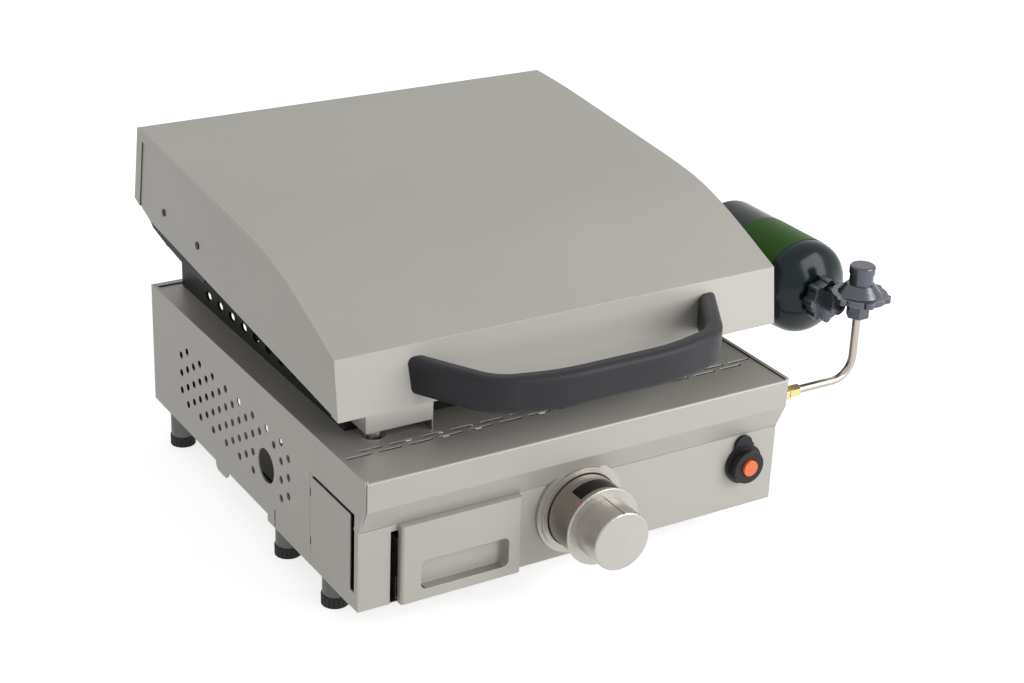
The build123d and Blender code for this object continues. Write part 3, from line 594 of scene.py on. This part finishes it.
@dataclass
class Workshop:
    """What the sub-assemblies share: the frame, the materials and ways to finish a piece."""

    frame: dict
    materials: dict[str, bpy.types.Material]
    weld_mm: float = 0.01
    flat_degrees: float = 0.5
    edge_degrees: float = 35.0

    def material_of(self, node: str) -> bpy.types.Material:
        """The material of the record's slot for a CAD node."""
        rows = self.frame["record"]["subparts"]
        slot = next(row["material_slot"] for row in rows if row["node"] == node)
        return self.materials[slot]

    def dress(
        self, node: str, bevel: float = 0.3, segments: int = 2, finish: OwnFinish | None = None
    ) -> None:
        """Gives a CAD node its material and softly rounded edges.

        Args:
            node: the CAD node.
            bevel: the edge radius in millimetres, or 0 for none.
            segments: how many faces round each edge.
            finish: the finish, where it isn't the record's material slot.
        """
        piece = self.frame["nodes"][node]
        material = self.materials[finish.value] if finish else self.material_of(node)
        piece.data.materials.clear()
        piece.data.materials.append(material)
        weld = piece.modifiers.new("weld", "WELD")
        weld.merge_threshold = self.weld_mm * MM
        if bevel:
            flat = piece.modifiers.new("flat", "DECIMATE")
            flat.decimate_type = "DISSOLVE"
            flat.angle_limit = math.radians(self.flat_degrees)
            edge = piece.modifiers.new("edge", "BEVEL")
            edge.width = bevel * MM
            edge.segments = segments
            edge.limit_method = "ANGLE"
            edge.angle_limit = math.radians(self.edge_degrees)
        normals = piece.modifiers.new("normals", "WEIGHTED_NORMAL")
        normals.keep_sharp = False
        LOG.info("dressed %s", node)

    def finish_piece(
        self, name: str, shape: bmesh.types.BMesh, body: str, slot: str
    ) -> bpy.types.Object:
        """Turns a bmesh into a piece that rides on a body.

        Args:
            name: the piece's name.
            shape: its shape, in the frame's place. It is freed.
            body: the CAD body it rides on.
            slot: the record's material slot.

        Returns:
            The new object.
        """
        mesh = bpy.data.meshes.new(name)
        shape.to_mesh(mesh)
        shape.free()
        mesh.materials.append(self.materials[slot])
        mesh.shade_smooth()
        piece = bpy.data.objects.new(name, mesh)
        bpy.context.scene.collection.objects.link(piece)
        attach(piece, body)
        LOG.info("made %s", name)
        return piece


@dataclass
class Casing:
    """The sheet metal body with its panel, deck and inner plates. Its sizes are millimetres."""

    shop: Workshop
    outer_edge: float = 0.5
    inner_edge: float = 0.2

    def build(self) -> None:
        """Dresses the body's sheets."""
        for node in (
            "side_wall_left",
            "side_wall_right",
            "rear_wall",
            "top_deck",
            "control_panel",
            "side_plate_left",
            "side_plate_right",
        ):
            self.shop.dress(node, self.outer_edge)
        # These inner plates get the near-black painted-shade finish.
        for node in ("control_box", "bottom_shield", "drawer_rails"):
            self.shop.dress(node, self.inner_edge, 1, OwnFinish.SOOTED)


@dataclass
class GriddleTop:
    """The lift-off plate, its guard walls and the grease chute. Its sizes are millimetres."""

    shop: Workshop
    edge: float = 0.4

    def build(self) -> None:
        """Dresses the griddle top."""
        for node in ("griddle_guard", "griddle_plate", "grease_chute", "hinge_pins"):
            self.shop.dress(node, self.edge)


@dataclass
class Hood:
    """The tilting hood with its brackets, screws and handle. Its sizes are millimetres."""

    shop: Workshop
    top_edge: float = 1.0
    side_edge: float = 0.2
    bracket_edge: float = 0.3
    screw_edge: float = 0.4

    def build(self) -> None:
        """Dresses the hood's sheets and fittings."""
        self.shop.dress("hood_top", self.top_edge, 3)
        for side in Side:
            self.shop.dress(f"hood_side_{side.value}", self.side_edge, 1)
            self.shop.dress(f"hinge_bracket_{side.value}", self.bracket_edge)
        self.shop.dress("hood_screws", self.screw_edge)
        self.shop.dress("hood_handle", 0.0)


@dataclass
class Drawer:
    """The drip drawer. Its sizes are millimetres."""

    shop: Workshop
    front_edge: float = 0.6
    pan_edge: float = 0.2

    def build(self) -> None:
        """Dresses the drawer."""
        self.shop.dress("drawer_front", self.front_edge, 3)
        self.shop.dress("drawer_pan", self.pan_edge, 1)


@dataclass
class Controls:
    """The gas knob with its bezel and the push igniter. Its sizes are millimetres and degrees."""

    shop: Workshop
    knob_edge: float = 0.3
    igniter_edge: float = 0.4
    tick_size: Triple = (5.0, 1.2, 0.5)
    tick_back: float = 4.5
    tick_angle: float = 43.0

    def ticks(self) -> None:
        """Adds the red tick at each end of the dial's window."""
        drum = self.shop.frame["nodes"]["knob_drum"]
        corners = [drum.matrix_world @ Vector(corner) for corner in drum.bound_box]
        low = Vector(min(corner[i] for corner in corners) for i in range(3))
        high = Vector(max(corner[i] for corner in corners) for i in range(3))
        middle = (low + high) / 2
        radius = (high.x - low.x) / 2
        centre = Matrix.Translation((middle.x, low.y + self.tick_back * MM, middle.z))
        scale = Matrix.Diagonal((*(side * MM for side in self.tick_size), 1.0))
        shape = bmesh.new()
        for angle in (-self.tick_angle, self.tick_angle):
            turn = Matrix.Rotation(math.radians(angle), 4, "Y")
            place = centre @ turn @ Matrix.Translation((0.0, 0.0, radius))
            bmesh.ops.create_cube(shape, size=1.0, matrix=place @ scale)
        self.shop.finish_piece("dial_ticks", shape, "knob", "orange_plastic")

    def build(self) -> None:
        """Adds the ticks and dresses the controls."""
        self.ticks()
        for node in (
            "knob_bezel",
            "knob_drum",
            "knob_ring",
            "knob_cap",
            "scale_window",
            "valve_stem",
        ):
            self.shop.dress(node, self.knob_edge)
        for node in ("igniter_bezel", "igniter_button", "igniter_body", "igniter_nut"):
            self.shop.dress(node, self.igniter_edge)


@dataclass
class GasLine:
    """The burner, pipes, regulator and gas cylinder. Its sizes are millimetres."""

    shop: Workshop
    edge: float = 0.4

    def build(self) -> None:
        """Dresses the gas line."""
        for node in (
            "gas_valve",
            "pipe_fitting",
            "regulator_nut",
            "regulator_body",
            "regulator_cap",
            "regulator_wheel",
            "tank_neck",
        ):
            self.shop.dress(node, self.edge)
        # The burner brackets get the near-black painted-shade finish.
        self.shop.dress("burner_brackets", self.edge, finish=OwnFinish.SOOTED)
        for node in ("burner", "electrode", "inner_pipe", "gas_pipe", "tank", "tank_label"):
            self.shop.dress(node, 0.0)


@dataclass
class Feet:
    """The six levelling feet and their nuts. Its sizes are millimetres."""

    shop: Workshop
    edge: float = 0.3

    def build(self) -> None:
        """Dresses the feet."""
        self.shop.dress("foot_nuts", self.edge)
        for side in Side:
            for place in Place:
                foot = f"{place.value}_{side.value}"
                self.shop.dress(f"foot_stud_{foot}", self.edge, finish=OwnFinish.STUD)
                self.shop.dress(f"foot_pad_{foot}", self.edge)


@dataclass(frozen=True)
class Studio:
    """The camera at the photograph's angle, the floor, the backdrop and the lamp."""

    azimuth: float = -32.1
    elevation: float = 24.33
    roll: float = 2.36
    place: Triple = (-0.9613, -1.6282, 1.0363)
    focal_px: float = 2027.61
    centre_px: Span = (508.64, 328.82)
    frame_px: tuple[int, int] = (1024, 683)
    sensor: float = 36.0
    world_level: float = 0.41
    floor_size: float = 12.0
    floor_colour: Colour = (0.86, 0.86, 0.86)
    floor_roughness: float = 0.9
    floor_lift: float = 0.72
    lamp_place: Triple = (1.25, -1.75, 1.0)
    lamp_aim: Triple = (0.0, 0.0, 0.15)
    lamp_size: float = 1.5
    lamp_watts: float = 33.0

    def camera(self) -> None:
        """Places the camera as fitted to the photograph."""
        width, height = self.frame_px
        data = bpy.data.cameras.new("camera")
        data.sensor_width = self.sensor
        data.lens = self.focal_px / width * self.sensor
        data.shift_x = (width / 2 - self.centre_px[0]) / width
        data.shift_y = (self.centre_px[1] - height / 2) / width
        turn, rise, lean = (math.radians(a) for a in (self.azimuth, self.elevation, self.roll))
        back = Vector(
            (math.sin(turn) * math.cos(rise), -math.cos(turn) * math.cos(rise), math.sin(rise))
        )
        level = Vector((0, 0, 1)).cross(back).normalized()
        upright = back.cross(level)
        right = level * math.cos(lean) + upright * math.sin(lean)
        up = upright * math.cos(lean) - level * math.sin(lean)
        axes = Matrix((right, up, back)).transposed().to_4x4()
        camera = bpy.data.objects.new("camera", data)
        camera.matrix_world = Matrix.Translation(self.place) @ axes
        bpy.context.scene.collection.objects.link(camera)
        bpy.context.scene.camera = camera

    def world(self) -> None:
        """Sets a white background whose light on the object is lower than its look."""
        world = bpy.data.worlds.new("studio")
        bpy.context.scene.world = world
        world.use_nodes = True
        graph = Graph(world.node_tree)
        background = world.node_tree.nodes["Background"]
        strength = graph.span(graph.seen_directly(), target=(self.world_level, 1.0))
        graph.feed(background.inputs["Color"], (1.0, 1.0, 1.0))
        graph.feed(background.inputs["Strength"], strength)

    def floor(self) -> None:
        """Lays a plain pale floor that keeps the object's shadow."""
        s = Shader("floor")
        s.fill(
            {
                "Base Color": self.floor_colour,
                "Roughness": self.floor_roughness,
                "Specular IOR Level": 0.0,
                "Emission Color": (1.0, 1.0, 1.0),
                "Emission Strength": s.span(s.seen_directly(), target=(0.0, self.floor_lift)),
            }
        )
        shape = bmesh.new()
        bmesh.ops.create_grid(shape, x_segments=1, y_segments=1, size=self.floor_size / 2)
        mesh = bpy.data.meshes.new("floor")
        shape.to_mesh(mesh)
        shape.free()
        mesh.materials.append(s.material)
        floor = bpy.data.objects.new("floor", mesh)
        bpy.context.scene.collection.objects.link(floor)

    def lamp(self) -> None:
        """Hangs a square soft lamp that faces the object."""
        data = bpy.data.lights.new("key", "AREA")
        data.size = self.lamp_size
        data.energy = self.lamp_watts
        lamp = bpy.data.objects.new("key", data)
        lamp.location = self.lamp_place
        aim = Vector(self.lamp_aim) - Vector(self.lamp_place)
        lamp.rotation_mode = "QUATERNION"
        lamp.rotation_quaternion = aim.to_track_quat("-Z", "Y")
        bpy.context.scene.collection.objects.link(lamp)

    def build(self) -> None:
        """Sets up the camera, backdrop, floor and lamp."""
        bpy.context.scene.view_settings.view_transform = "Standard"
        self.camera()
        self.world()
        self.floor()
        self.lamp()


def main() -> None:
    """Builds the griddle's sub-assemblies in order around the frame."""
    logging.basicConfig(level=logging.INFO, format="%(name)s: %(message)s")
    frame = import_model()
    effects = Effects()
    shop = Workshop(frame, {finish.name: finish.build(effects) for finish in FINISHES})
    for assembly in (Casing, GriddleTop, Hood, Drawer, Controls, GasLine, Feet):
        assembly(shop).build()
    Studio().build()


if __name__ == "__main__":
    main()
